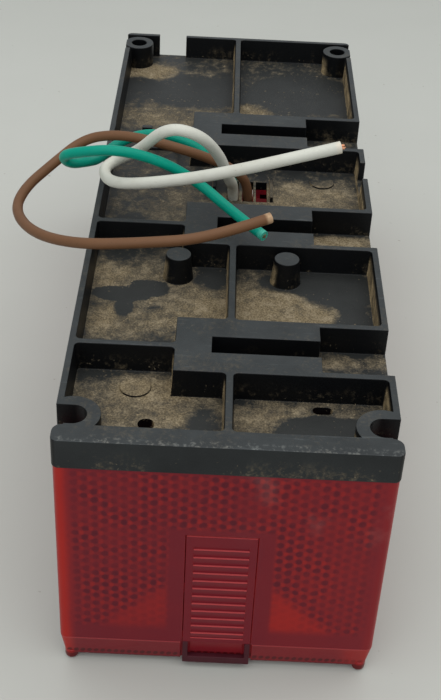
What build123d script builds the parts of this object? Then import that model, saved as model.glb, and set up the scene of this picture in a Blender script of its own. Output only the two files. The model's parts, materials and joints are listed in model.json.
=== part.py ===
from build123d import *
import math
import os

# A low-profile trailer tail light, lying on its front lens with its mounting back up.
# +X is across the back, +Y runs along it to the far end, +Z points out of the back.
# The origin is below the middle of the lamp, on the surface that its four feet stand on.
# All sizes are millimetres.

# ---------------------------------------------------------------- overall size
width = 73.0
length = 205.0
height = 69.0
half_width = width / 2
half_length = length / 2

# ---------------------------------------------------------------- black back pan
rim_depth = 7.5            # the pan's outer walls, from the mounting rim to the red body
rim_bottom = height - rim_depth
cell_floor = 61.9          # the floor of the cells in the back
floor_bottom = 59.3
outer_wall = 1.5
cell_draft = 3.5           # degrees, on the walls of the cells
flange_thick = 5.5         # the thick wall at the near end
rib_thick = 1.6
plan_corner = 1.6
cell_corner = 1.2

groove_centres = [37.6, -14.8, -67.2]   # the three cross grooves, from the far end
groove_width = 16.8
groove_wall = 1.7          # the wall between a groove and the cells beside it
plateau_left = -12.5
plateau_right = 20.5
slot_left = -4.2
slot_width = 6.0

screw_hole_x = 32.3
screw_hole_y = 95.1
screw_hole_radius = 2.4
screw_boss_radius = 4.6
open_slot_x = 32.7
open_slot_y = -93.7
open_slot_radius = 3.0
open_boss_radius = 6.0
far_notch_start = 91.0     # the side walls stop short of the corner bosses
near_notch_start = -89.2

post_x = 13.5
post_y = -30.0
post_base_radius = 3.85
post_top_radius = 3.1
pilot_radius = 1.45

outlet_slot_x = [-0.15, 3.9, 7.7]       # the three slots that the wires come out of
outlet_slot_width = 3.1
pad_height = 0.5
outlet_y = [8.9, 19.8]
outlet_teeth = [(-6.0, 4.2), (9.9, 1.6)]          # where each stands, and its height
cell_pads = [(24.8, 20.7, 3.4), (-20.9, -75.3, 3.5)]
comb_gaps = [(-34.9, -27.2), (-24.3, -22.5), (-19.9, -17.8), (-15.5, -12.9)]
far_wall_gap = [-25.9, -17.2]
side_wall_gap = [12.1, 20.9]
drain_hole = (-17.7, -87.6, 1.8)
drain_slot = (20.9, -80.4, 4.4, 2.4)

# ---------------------------------------------------------------- red body and lens
seam = 8.6                 # where the removable lens meets the body
body_inset = 0.2           # the body stands this far inside the pan's rim
body_wall = 2.0
lens_bottom = 1.9
lens_taper = 1.2
lens_floor = 2.6
lens_skirt = 3.4
lip_height = 2.2
lip_wall = 1.3
fit_gap = 0.3
foot_radius = 1.6
foot_round = 1.0
foot_x = 33.9
foot_y = 99.9

# ---------------------------------------------------------------- release latches
latch_half = 7.8
latch_top = 43.1
latch_gap = 0.18
latch_gap_top = 0.4
latch_pivot_z = 24.0
latch_pivot_in = 3.1       # the pivot's distance in from the end of the lamp
pivot_pin_radius = 1.0
pivot_bore_radius = 1.05
ridge_count = 12
ridge_first = 11.6
ridge_pitch = 2.47
ridge_slope = 1.9
ridge_half = 6.1
loop_arm = 1.2
loop_bar = 2.0
tongue_bottom = 8.9        # the loop's arms hang from here

# ---------------------------------------------------------------- lamp holders
bulb_z = 36.0
bracket_thick = 0.9
shell_inner = 7.8
shell_outer = 8.4
shell_mouth = -16.0
shell_back = 11.8
base_radius = 7.55
bulb_radius = 13.2
bulb_neck_radius = 7.0
bulb_neck_end = -14.0
bulb_centre = -35.0
glass_thick = 0.8
bayonet_turn = 25.0        # degrees from locked to free
pin_radius = 1.0
pin_reach = 8.9
pin_places = [-4.0, -1.0]  # the two bayonet pins stand at different heights
contact_x = 3.4
marker_z = 30.0
marker_face = -64.0
marker_ear = -58.0
marker_radius = 5.1

# ---------------------------------------------------------------- wires
wire_radii = {"white": 1.5, "green": 1.35, "brown": 1.35}
strand_radius = 0.75
strand_length = {"white": 1.7, "green": 0.9, "brown": 0.7}
lead_bend = 1.75
splice_place = (4.9, 17.3)
splice_span = (43.0, 47.4)
splice_radius = 3.5
# The free wires, from the outlet in the back's floor to their cut ends.
free_routes = {
    "white": [
        (-0.15, 11.4, 59.3), (-0.15, 11.4, 65), (-1.8, 4, 71.5), (-4.5, -2.5, 82), (-9.5, -10, 91.5),
        (-18, -10.5, 93.5), (-25.5, -3.5, 82.5), (-31, 2, 77.2), (-34.9, -1.5, 75.9), (-33, -9, 76.4),
        (-26.5, -15.5, 79.5), (-13, -21.5, 85), (0, -25.5, 90.5), (12, -26, 94.5), (24.5, -23.5, 97),
    ],
    "green": [
        (-0.15, 17.4, 59.3), (-0.15, 17.4, 64.5), (-5.5, 15.5, 70.5), (-14, 17, 75.5), (-24, 19, 76.5),
        (-32.5, 17, 74), (-37, 8.5, 73), (-39.5, 1.5, 75.9), (-43.2, -5.5, 79), (-44.8, -8, 82.6),
        (-40.5, -11, 85.5), (-30, -13, 88), (-18.5, -12, 84.5), (-9, -11, 78), (-1, -18.5, 75),
        (7.5, -27.5, 73.5),
    ],
    "brown": [
        (3.9, 12, 59.3), (3.9, 12, 64.5), (1.2, 10.5, 69.8), (-6, 8.5, 74.5), (-14, 5, 79),
        (-24, 7, 80.5), (-33, 10, 80), (-41.5, 11, 77.5), (-49, 2.5, 74), (-55, -7, 72),
        (-56, -18, 71.5), (-49.5, -30.5, 73), (-37.5, -40, 76.5), (-22, -42, 79), (-6, -41, 80.5),
        (8.5, -33.5, 82.5),
    ],
}
# The short runs inside the lamp, and the jumper to the marker lamp.
inner_leads = {
    "white_lead": [
        (-0.15, 11.4, 59.3), (-0.15, 11.4, 55.6), (-4.5, 12.6, 55.6), (-12, 12.6, 55.6), (-12, 8, 56.5),
    ],
    "green_lead": [(-0.15, 17.4, 59.3), (-0.15, 17.4, 48), (-3.4, 17.6, 36), (-3.4, 9, 36)],
    "brown_lead": [
        (3.9, 12, 59.3), (3.9, 12, 55.8), (3.4, 17.6, 48), (3.4, 17.6, 36), (3.4, 9, 36),
    ],
    "marker_lead": [
        (6.4, 16.9, 45), (6.4, 16.9, 52), (12, 12, 56.2), (12, 2, 56.2), (8.2, -10, 56.2),
        (8.2, -44, 56.2), (3.3, -52.7, 51), (3.3, -52.7, 42.5),
    ],
}


def block(x0, x1, y0, y1, z0, z1):
    """A box from its lowest to its highest corner."""
    middle = Pos((x0 + x1) / 2, (y0 + y1) / 2, (z0 + z1) / 2)
    return middle * Box(x1 - x0, y1 - y0, z1 - z0)


def rounded(x0, x1, y0, y1, z0, z1, radius):
    """A box whose upright edges are rounded."""
    outline = Pos((x0 + x1) / 2, (y0 + y1) / 2, z0) * RectangleRounded(x1 - x0, y1 - y0, radius)
    return extrude(outline, amount=z1 - z0)


def upright(x, y, z0, z1, radius):
    """A round bar along Z."""
    return Pos(x, y, (z0 + z1) / 2) * Cylinder(radius, z1 - z0)


def along_y(x, z, y0, y1, radius):
    """A round bar along Y."""
    return Pos(x, (y0 + y1) / 2, z) * Rot(90, 0, 0) * Cylinder(radius, y1 - y0)


def along_x(y, z, x0, x1, radius):
    """A round bar along X."""
    return Pos((x0 + x1) / 2, y, z) * Rot(0, 90, 0) * Cylinder(radius, x1 - x0)


def frame(outer_x, outer_y, inner_x, inner_y, z0, z1, radius):
    """A rectangular ring about the origin, given by its half sizes."""
    outside = rounded(-outer_x, outer_x, -outer_y, outer_y, z0, z1, radius)
    return outside - block(-inner_x, inner_x, -inner_y, inner_y, z0 - 1, z1 + 1)


def far_copy(shape):
    """The same piece at the far end: the near one, mirrored end for end."""
    return mirror(shape, about=Plane.XZ)


# ================================================================ the back pan
def cell(x0, x1, y0, y1):
    """One open cell, as it is cut: wider at its mouth than at its floor, so that it leaves the mould."""
    mouth = Pos((x0 + x1) / 2, (y0 + y1) / 2, height) * RectangleRounded(x1 - x0, y1 - y0, cell_corner)
    return extrude(mouth, amount=cell_floor - height, taper=cell_draft) + extrude(mouth, amount=1)


def cells():
    """The open cells of the back, between the grooves, with their centre rib."""
    inner = half_width - outer_wall
    reach = groove_width / 2 + groove_wall
    half_rib = rib_thick / 2
    cross_walls = [centre - 0.8 for centre in groove_centres]
    upper = [half_length - outer_wall] + [centre - reach for centre in groove_centres]
    lower = [centre + reach for centre in groove_centres] + [-half_length + flange_thick]
    left_upper = [upper[0]] + [wall - half_rib for wall in cross_walls]
    left_lower = [wall + half_rib for wall in cross_walls] + [lower[-1]]
    cut = []
    for row in range(4):
        left_end = inner if row == 1 else -half_rib
        cut.append(cell(-inner, left_end, lower[row], upper[row]))
        cut.append(cell(-inner, plateau_left, left_lower[row], left_upper[row]))
        if row != 1:
            cut.append(cell(half_rib, inner, lower[row], upper[row]))
    return cut


def grooves():
    """Each groove's narrow slot and the recess that opens through the right wall."""
    top = height + 1
    cut = []
    for centre in groove_centres:
        half = groove_width / 2
        cut.append(block(plateau_right, half_width + 1, centre - half, centre + half, cell_floor, top))
        slot = (slot_left, plateau_right + 1, centre - slot_width / 2, centre + slot_width / 2)
        cut.append(block(*slot, cell_floor, top))
    return cut


def wall_notches():
    """The gaps in the outer walls, and the comb that grips the wires."""
    top = height + 1
    inner = half_width - outer_wall
    cut = [block(*far_wall_gap, half_length - 3, half_length + 1, cell_floor, top)]
    for side in (-1, 1):
        low, high = sorted((side * (inner - 0.5), side * (half_width + 1)))
        far_end = half_length - outer_wall
        near_end = -half_length + flange_thick
        cut.append(block(low, high, far_notch_start, far_end, cell_floor, top))
        cut.append(block(low, high, near_end, near_notch_start, cell_floor, top))
    cut.append(block(inner - 0.5, half_width + 1, *side_wall_gap, cell_floor + 1.4, top))
    comb_wall = groove_centres[0] - 0.8
    for start, end in comb_gaps:
        cut.append(block(start, end, comb_wall - 2, comb_wall + 2, cell_floor + 0.8, top))
    return cut


def flange_ends():
    """What is cut away to round the two ends of the thick near wall, as seen from above."""
    cut = []
    for side in (-1, 1):
        for near, along, radius in ((False, -half_length + flange_thick, 2.2), (True, -half_length, 1.6)):
            centre_x = side * (half_width - radius)
            centre_y = along + radius if near else along - radius
            low_x, high_x = sorted((centre_x, side * (half_width + 1)))
            low_y, high_y = sorted((centre_y, along - 1 if near else along + 0.6))
            corner = block(low_x, high_x, low_y, high_y, rim_bottom - 1, height + 1)
            cut.append(corner - upright(centre_x, centre_y, rim_bottom - 2, height + 2, radius))
    return cut


def base_housing():
    """The black plastic pan that is the lamp's back: cells, grooves, bosses and wire outlet."""
    walls = rounded(-half_width, half_width, -half_length, half_length, rim_bottom, height, plan_corner)
    inset = body_inset + body_wall + 0.1
    plate_x = half_width - inset
    plate_y = half_length - inset - 0.1
    pan = walls + rounded(-plate_x, plate_x, -plate_y, plate_y, floor_bottom, rim_bottom, 0.8)
    for cut in cells() + grooves() + wall_notches():
        pan -= cut
    outline = rounded(-half_width, half_width, -half_length, half_length, 50, height, plan_corner)
    for side in (-1, 1):
        boss = upright(side * screw_hole_x, screw_hole_y, rim_bottom, height, screw_boss_radius)
        pan += boss & outline
        boss = upright(side * open_slot_x, open_slot_y, rim_bottom, height, open_boss_radius)
        pan += boss & outline
        post = Pos(side * post_x, post_y, (rim_bottom + height - 0.2) / 2)
        pan += post * Cone(post_base_radius, post_top_radius, height - 0.2 - rim_bottom)
    for x, y, radius in cell_pads:
        pan += upright(x, y, rim_bottom, cell_floor + pad_height, radius)
    for place, tooth_height in outlet_teeth:
        pan += block(place, place + 0.9, outlet_y[0], outlet_y[1], rim_bottom, cell_floor + tooth_height)
    for side in (-1, 1):
        pan -= upright(side * screw_hole_x, screw_hole_y, 50, height + 1, screw_hole_radius)
        pan -= upright(side * open_slot_x, open_slot_y, 50, height + 1, open_slot_radius)
        low, high = sorted((side * open_slot_x, side * (half_width + 1)))
        slot_low = open_slot_y - open_slot_radius
        pan -= block(low, high, slot_low, slot_low + 2 * open_slot_radius, 50, height + 1)
        pan -= upright(side * post_x, post_y, 50, 66.2, pilot_radius)
    for x in outlet_slot_x:
        half = outlet_slot_width / 2
        pan -= block(x - half, x + half, outlet_y[0], outlet_y[1], 50, height + 1)
    x, y, radius = drain_hole
    pan -= upright(x, y, 50, height, radius)
    x, y, slot_length, slot_across = drain_slot
    drain = Pos(x, y, 50) * SlotOverall(slot_length, slot_across)
    pan -= extrude(drain, amount=20)
    return pan - flange_ends()


# ================================================================ red body and lens
def latch_seats():
    """Two pairs of pivot bosses beside the near latch's window, with their bores."""
    pivot_y = -half_length + latch_pivot_in
    seats = []
    for side in (-1, 1):
        low, high = sorted((side * (latch_half + latch_gap), side * (latch_half + 2.6)))
        seat = block(low, high, -half_length + body_wall, pivot_y + 1.7, latch_pivot_z - 2, latch_pivot_z + 2)
        seats.append(seat)
    return seats


def lamp_body():
    """The red body: a tall frame with a window at each end for the release latch."""
    out_x = half_width - body_inset
    out_y = half_length - body_inset
    body = rounded(-out_x, out_x, -out_y, out_y, seam, rim_bottom, 1.5)
    in_x = out_x - body_wall
    in_y = out_y - body_wall
    body -= rounded(-in_x, in_x, -in_y, in_y, seam - 1, rim_bottom + 1, 0.8)
    ledge = frame(in_x + 0.5, in_y + 0.5, in_x - 2.3, in_y - 2.3, 12.6, 14.2, 0.8)
    clear = latch_half + 2.7
    ledge -= block(-clear, clear, -half_length, half_length, 10, 20)
    body += ledge
    window_half = latch_half + latch_gap
    pivot_y = -half_length + latch_pivot_in
    for flip in (False, True):
        window = block(
            -window_half, window_half, -half_length - 1, -half_length + 4, seam - 1, latch_top + latch_gap_top
        )
        body -= far_copy(window) if flip else window
        for seat in latch_seats():
            body += far_copy(seat) if flip else seat
        bore = along_x(pivot_y, latch_pivot_z, -latch_half - 3, latch_half + 3, pivot_bore_radius)
        body -= far_copy(bore) if flip else bore
    return body


def reflex_panel():
    """The reflex insert behind the near end wall, notched for the latch."""
    front = -half_length + body_inset + body_wall
    panel = block(-33.2, 33.2, front, front + 1.6, 15.0, 58.6)
    notch = latch_half + 3.2
    return panel - block(-notch, notch, front - 1, front + 3, 10, latch_top + 3)


def front_lens():
    """The removable lens: a shallow tray with tapered sides, a locating lip, tabs and feet."""
    out_x = half_width - body_inset
    out_y = half_length - body_inset
    drop = seam - lens_bottom
    slope = math.degrees(math.atan(lens_taper / drop))
    shell = extrude(Pos(0, 0, seam) * RectangleRounded(2 * out_x, 2 * out_y, 1.6), amount=-drop, taper=slope)
    in_x = out_x - lens_skirt
    in_y = out_y - lens_skirt
    shell -= rounded(-in_x, in_x, -in_y, in_y, lens_bottom + lens_floor, seam + 1, 1.0)
    lip_x = out_x - body_wall - fit_gap
    lip_y = out_y - body_wall - fit_gap
    lip = frame(lip_x, lip_y, lip_x - lip_wall, lip_y - lip_wall, seam - 0.5, seam + lip_height, 0.8)
    clear = latch_half + 0.9
    lip -= block(-clear, clear, -half_length, half_length, seam, seam + 5)
    shell += lip
    for side in (-1, 1):
        for end in (-1, 1):
            foot = upright(side * foot_x, end * foot_y, 0, lens_bottom + 1, foot_radius)
            shell += fillet(foot.edges().sort_by(Axis.Z)[:1], foot_round)
    tab_top = seam - 0.3
    tab_bottom = lens_bottom + loop_bar + 0.25
    for flip in (False, True):
        gap = block(-latch_half - 0.5, latch_half + 0.5, -half_length - 1, -half_length + 1.8, 0, seam + 1)
        shell -= far_copy(gap) if flip else gap
        rise = math.tan(math.radians(10.4)) * (tab_top - tab_bottom)
        profile = Polyline(
            (-half_length + 1.55, tab_bottom),
            (-half_length + 2.4, tab_bottom),
            (-half_length + 2.4, tab_top),
            (-half_length + 1.55 - rise, tab_top),
            close=True,
        )
        tab_half = latch_half - loop_arm - 0.5
        face = Plane.YZ.offset(-tab_half) * make_face(profile)
        tab = extrude(face, amount=2 * tab_half)
        shell += far_copy(tab) if flip else tab
    return shell


def lens_gasket():
    """The soft ring that the lens's lip presses against the body's inner ledge."""
    in_x = half_width - body_inset - body_wall
    in_y = half_length - body_inset - body_wall
    ring = frame(in_x - 0.05, in_y - 0.05, in_x - 2.0, in_y - 2.0, seam + lip_height, 12.6, 0.8)
    clear = latch_half + 2.7
    return ring - block(-clear, clear, -half_length, half_length, 5, 20)


def latch_tongue():
    """The near release latch: a ridged thumb plate that rocks on a cross pin."""
    face = -half_length + body_inset
    back = face + body_wall
    plate = block(-latch_half, latch_half, face, back, tongue_bottom, latch_top)
    field_low = ridge_first - 1.4
    field_high = ridge_first + ridge_pitch * (ridge_count - 1) + 1.4
    plate -= block(-ridge_half, ridge_half, face - 1, face + 0.3, field_low, field_high)
    for index in range(ridge_count):
        ledge = ridge_first + ridge_pitch * index + 0.4
        tooth = Polyline(
            (face + 0.4, ledge),
            (face - 0.15, ledge),
            (face + 0.3, ledge - ridge_slope),
            (face + 0.4, ledge - ridge_slope),
            close=True,
        )
        plate += extrude(Plane.YZ.offset(-ridge_half) * make_face(tooth), amount=2 * ridge_half)
    pivot_y = -half_length + latch_pivot_in
    hub_low = latch_pivot_z - 1.5
    hub_high = latch_pivot_z + 1.5
    plate += block(-latch_half, latch_half, back - 0.2, pivot_y + 1.3, hub_low, hub_high)
    plate += along_x(pivot_y, latch_pivot_z, -latch_half - 2.4, latch_half + 2.4, pivot_pin_radius)
    return plate


def latch_loop():
    """The near latch's loop, whose bar passes under the lens's tab."""
    face = -half_length
    back = face + 1.4
    inner = latch_half - loop_arm
    loop = block(-latch_half, latch_half, face, back, lens_bottom, lens_bottom + loop_bar)
    for side in (-1, 1):
        low, high = sorted((side * inner, side * latch_half))
        loop += block(low, high, face, back, lens_bottom, tongue_bottom)
    return loop


# ================================================================ lamp holders
def socket_bracket():
    """The plated steel bracket: a plate under the floor with an ear for each lamp holder."""
    top = floor_bottom
    plate = rounded(-19, 19, marker_ear, 6, top - bracket_thick, top, 2.0)
    ear = block(-15, 15, 6 - bracket_thick, 6, 22, top)
    ear = fillet(ear.edges().filter_by(Axis.Y).sort_by(Axis.Z)[:2], 6)
    for side in (-12, 12):
        ear -= block(side - 2.4, side + 2.4, 4, 7, 53.5, top - bracket_thick)
    plate += ear - along_y(0, bulb_z, 4, 7, shell_outer + 0.05)
    ear = block(-11, 11, marker_ear, marker_ear + bracket_thick, 20, top)
    ear = fillet(ear.edges().filter_by(Axis.Y).sort_by(Axis.Z)[:2], 5)
    plate += ear - along_y(0, marker_z, marker_ear - 1, marker_ear + 2, 6.05)
    for side in (-1, 1):
        plate -= upright(side * post_x, post_y, 50, 60, 1.7)
    plate -= upright(-12, -2, 50, 60, 1.6)
    for y in (-14.0, -44.0):
        plate -= rounded(-7, 7, y - 6, y + 6, 50, 60, 3)
    return plate


def bracket_screws():
    """Two pan-head screws that go up into the blind posts of the back."""
    screws = []
    for side in (-1, 1):
        head_top = floor_bottom - bracket_thick
        screw = upright(side * post_x, post_y, head_top - 1.8, head_top, 2.9)
        screw += upright(side * post_x, post_y, head_top, 65.8, 1.4)
        screw -= Pos(side * post_x, post_y, head_top - 1.8) * Box(4.2, 0.7, 1.2)
        screw -= Pos(side * post_x, post_y, head_top - 1.8) * Box(0.7, 4.2, 1.2)
        screws.append(screw)
    return Compound(children=screws)


def main_socket_shell():
    """The bayonet shell: a tube with two hooked slots, a flange and an open back wall."""
    shell = along_y(0, bulb_z, shell_mouth, shell_back, shell_outer)
    shell += along_y(0, bulb_z, 4.2, 5.1, 10.6)
    shell -= along_y(0, bulb_z, shell_mouth - 1, shell_back - 0.8, shell_inner)
    shell -= along_y(0, bulb_z, 5, shell_back + 1, 5.8)
    reach = pin_radius + 0.3
    for place, side in zip(pin_places, (1, -1)):
        for step in range(6):
            turn = Rot(0, bayonet_turn * step / 5, 0)
            hook = turn * Pos(0, place, side * 8) * Box(2 * reach, 2 * reach, 3)
            shell -= Pos(0, 0, bulb_z) * hook
        length_to_pin = place + reach - shell_mouth + 1
        middle = (place + reach + shell_mouth - 1) / 2
        slot = Rot(0, bayonet_turn, 0) * Pos(0, middle, side * 8) * Box(2 * reach, length_to_pin, 3)
        shell -= Pos(0, 0, bulb_z) * slot
    return shell


def contact_disc():
    """The fibre disc that carries the two contacts inside the shell."""
    disc = along_y(0, bulb_z, 4.0, 5.6, shell_inner - 0.25)
    for side in (-1, 1):
        disc -= along_y(side * contact_x, bulb_z, 3, 6.5, 1.25)
    return disc


def contact(side):
    """One brass contact: a domed button through the disc with a crimp barrel behind it."""
    x = side * contact_x
    button = along_y(x, bulb_z, 2.5, 4.0, 1.8)
    button += along_y(x, bulb_z, 4.0, 5.6, 1.25)
    return button + along_y(x, bulb_z, 5.6, 9.0, 1.7)


def contact_spring():
    """The coil spring between the disc and the shell's back wall."""
    wire = 0.35
    start = 5.6 + wire
    coil = Helix(pitch=1.6, height=4.6, radius=6.9)
    section = Plane(coil @ 0, z_dir=coil % 0) * Circle(wire)
    spring = sweep(section, path=coil, is_frenet=True)
    return Pos(0, start, bulb_z) * Rot(-90, 0, 0) * spring


def main_bulb_base():
    """The two-filament lamp's metal base with its two bayonet pins."""
    base = along_y(0, bulb_z, bulb_neck_end, 0.5, base_radius)
    base -= along_y(0, bulb_z, bulb_neck_end - 1, -0.2, base_radius - 0.4)
    base -= along_y(0, bulb_z, -1, 1, 5.0)
    for place, side in zip(pin_places, (1, -1)):
        pin = Cylinder(pin_radius, pin_reach - base_radius + 0.3)
        base += Pos(0, place, bulb_z + side * (pin_reach + base_radius - 0.3) / 2) * pin
    return base


def main_bulb_insulator():
    """The dark insulating button that closes the base and holds the two solder contacts."""
    button = along_y(0, bulb_z, -1.5, 0.5, 5.0)
    button += along_y(0, bulb_z, 0.5, 1.4, 6.4)
    for side in (-1, 1):
        button -= along_y(side * contact_x, bulb_z, -2, 2, 1.2)
    return button


def main_bulb_contacts():
    """The two solder contacts at the bottom of the lamp's base."""
    pips = []
    for side in (-1, 1):
        pip = along_y(side * contact_x, bulb_z, -1.2, 1.4, 1.2)
        pips.append(pip + along_y(side * contact_x, bulb_z, 1.4, 2.5, 1.7))
    return Compound(children=pips)


def main_bulb_glass():
    """The round glass envelope, hollow, with its neck in the base."""
    outside = Pos(0, bulb_centre, bulb_z) * Sphere(bulb_radius)
    neck_start = -9.0
    outside += along_y(0, bulb_z, bulb_centre, neck_start, bulb_neck_radius)
    inside = Pos(0, bulb_centre, bulb_z) * Sphere(bulb_radius - glass_thick)
    inside += along_y(0, bulb_z, bulb_centre, neck_start + 1, bulb_neck_radius - glass_thick)
    return outside - inside


def main_bulb_stem():
    """The glass stem that holds the support wires."""
    stem = along_y(0, bulb_z, -23, -9.5, 2.2)
    flare = Pos(0, -10.5, bulb_z) * Rot(90, 0, 0) * Cone(5.4, 2.2, 4)
    return stem + flare


def main_bulb_filaments():
    """Two tungsten coils, each across its own pair of support wires."""
    pieces = []
    for z_offset, y_end in ((-2.6, -33.0), (2.6, -37.0)):
        loom = along_x(y_end, bulb_z + z_offset, -4.2, 4.2, 0.55)
        for side in (-1, 1):
            x = side * 3.6
            support = along_y(x, bulb_z + z_offset, y_end, -22.5, 0.3)
            foot = along_x(-22.5, bulb_z + z_offset, min(x, 0), max(x, 0), 0.3)
            loom += support + foot
        pieces.append(loom)
    return Compound(children=pieces)


def marker_socket():
    """The small wedge lamp's plastic holder, clipped into the bracket's second ear."""
    ear_front = marker_ear + bracket_thick
    body = along_y(0, marker_z, ear_front, ear_front + 4, 7.6)
    body += along_y(0, marker_z, marker_face, ear_front, 6.0)
    body += along_y(0, marker_z, marker_ear - 2, marker_ear, 7.4)
    body -= block(-5.3, 5.3, marker_face - 1, -56, marker_z - 1.7, marker_z + 1.7)
    for side in (-1, 1):
        low, high = sorted((side * 2.3, side * 4.3))
        body -= block(low, high, marker_face - 1, -50, marker_z + 1.5, marker_z + 2.6)
    return body


def marker_contacts():
    """Two brass blades in the wedge holder, with tails turned up for the lead and the ground."""
    blades = []
    for side in (-1, 1):
        low, high = sorted((side * 2.3, side * 4.3))
        blade = block(low, high, marker_face + 1.2, -52.4, marker_z + 2.0, marker_z + 2.6)
        blades.append(blade + block(low, high, -53.0, -52.4, marker_z + 2.0, 42.5))
    return Compound(children=blades)


def marker_bulb_glass():
    """The wedge lamp: a pinched flat base, a thin tube and a round end, in one glass."""
    end = marker_face - 19
    glass = along_y(0, marker_z, end, marker_face - 1.2, marker_radius)
    glass += Pos(0, end, marker_z) * Sphere(marker_radius)
    glass -= along_y(0, marker_z, end, marker_face - 4, marker_radius - 0.6)
    glass -= Pos(0, end, marker_z) * Sphere(marker_radius - 0.6)
    return glass + block(-4.9, 4.9, marker_face - 2, -57.0, marker_z - 1.35, marker_z + 1.35)


def marker_bulb_filament():
    """The wedge lamp's coil on its two support wires."""
    y_end = marker_face - 13
    loom = along_x(y_end, marker_z, -2.6, 2.6, 0.4)
    for side in (-1, 1):
        loom += along_y(side * 2.2, marker_z, y_end, marker_face - 4, 0.25)
    return loom


def ground_terminal():
    """The ring terminal that ties the ground lead to the bracket."""
    level = floor_bottom - bracket_thick
    ring = upright(-12, -2, level - 0.8, level, 3.4)
    ring += block(-13.2, -10.8, -2, 3.5, level - 0.8, level)
    ring += along_y(-12, level - 1.9, 3.0, 8.0, 1.9)
    return ring - upright(-12, -2, 50, 60, 1.6)


def ground_rivet():
    """The rivet through the ring terminal and the bracket."""
    level = floor_bottom - bracket_thick
    rivet = upright(-12, -2, level - 2.0, level - 0.8, 2.6)
    return rivet + upright(-12, -2, level - 0.9, floor_bottom, 1.55)


# ================================================================ wires
def tube_path(points, radii=None):
    """Straight runs joined by tangent arcs, each as large as its two runs allow."""
    places = [Vector(*point) for point in points]
    if radii is None:
        radii = []
        for before, here, after in zip(places, places[1:], places[2:]):
            turn = (here - before).get_angle(after - here)
            shorter = min((here - before).length, (after - here).length)
            radii.append(0.45 * shorter / math.tan(math.radians(turn) / 2))
    return FilletPolyline(*places, radius=radii), radii


def tube(points, radius, radii=None):
    """A round wire along the path through the points."""
    path, bends = tube_path(points, radii)
    section = Plane(path @ 0, z_dir=path % 0) * Circle(radius)
    wire = sweep(section, path=path, transition=Transition.ROUND)
    return wire, path.length, bends


def lead_splice():
    """The crimp sleeve that joins the jumper to the brown lead."""
    return upright(*splice_place, *splice_span, splice_radius)


def wire_end(colour):
    """The bare copper strands that stand out of a free wire's cut end."""
    before, last = (Vector(*point) for point in free_routes[colour][-2:])
    direction = (last - before).normalized()
    reach = strand_length[colour]
    return Plane(last, z_dir=direction) * Pos(0, 0, reach / 2) * Cylinder(strand_radius, reach)


# ================================================================ write the pieces
def write(name, shape):
    """One STEP file for each named piece."""
    export_step(shape, f"parts/{name}.step")


def main():
    os.makedirs("parts", exist_ok=True)
    write("base_housing", base_housing())
    write("lamp_body", lamp_body())
    write("front_lens", front_lens())
    write("lens_gasket", lens_gasket())
    ends = {"reflex_panel": reflex_panel(), "latch_tongue": latch_tongue(), "latch_loop": latch_loop()}
    for name, piece in ends.items():
        write(f"near_{name}", piece)
        write(f"far_{name}", far_copy(piece))
    write("socket_bracket", socket_bracket())
    write("bracket_screws", bracket_screws())
    write("main_socket_shell", main_socket_shell())
    write("contact_disc", contact_disc())
    write("stop_turn_contact", contact(-1))
    write("tail_contact", contact(1))
    write("contact_spring", contact_spring())
    write("main_bulb_base", main_bulb_base())
    write("main_bulb_insulator", main_bulb_insulator())
    write("main_bulb_contacts", main_bulb_contacts())
    write("main_bulb_glass", main_bulb_glass())
    write("main_bulb_stem", main_bulb_stem())
    write("main_bulb_filaments", main_bulb_filaments())
    write("marker_socket", marker_socket())
    write("marker_contacts", marker_contacts())
    write("marker_bulb_glass", marker_bulb_glass())
    write("marker_bulb_filament", marker_bulb_filament())
    write("ground_terminal", ground_terminal())
    write("ground_rivet", ground_rivet())
    splice = lead_splice()
    for name, points in inner_leads.items():
        radius = wire_radii["white" if name == "white_lead" else "brown"]
        lead, run, bends = tube(points, radius, [lead_bend] * (len(points) - 2))
        print(name, round(run, 1), "volume share", round(lead.volume / (math.pi * radius**2 * run), 4))
        write(name, lead)
        splice -= lead
    write("lead_splice", splice)
    for colour, points in free_routes.items():
        radius = wire_radii[colour]
        wire, run, bends = tube(points, radius)
        share = wire.volume / (math.pi * radius**2 * run)
        print(colour, "length", round(run, 1), "volume share", round(share, 4))
        print("  bend radii in diameters", [round(bend / radius / 2, 1) for bend in bends])
        write(f"{colour}_wire", wire)
        write(f"{colour}_wire_end", wire_end(colour))


if __name__ == "__main__":
    main()
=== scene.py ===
# %% [markdown]
# # A trailer tail light, lying on its lens
# The lamp has a black moulded back with open cells, a red body that is seen end on, a clip-on lens under
# it, and three cut wires that come out of the back. The exact shapes are already made, as a fixed frame of
# named nodes. This lesson adds what makes them look real: finishes, rounded edges, wires that lie as wires
# do, and the dust of a few years on the road. First the frame is loaded.

# %% Load the frame
import json
import math
import random

import bmesh
import bpy
from mathutils import Matrix, Quaternion, Vector


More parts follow.
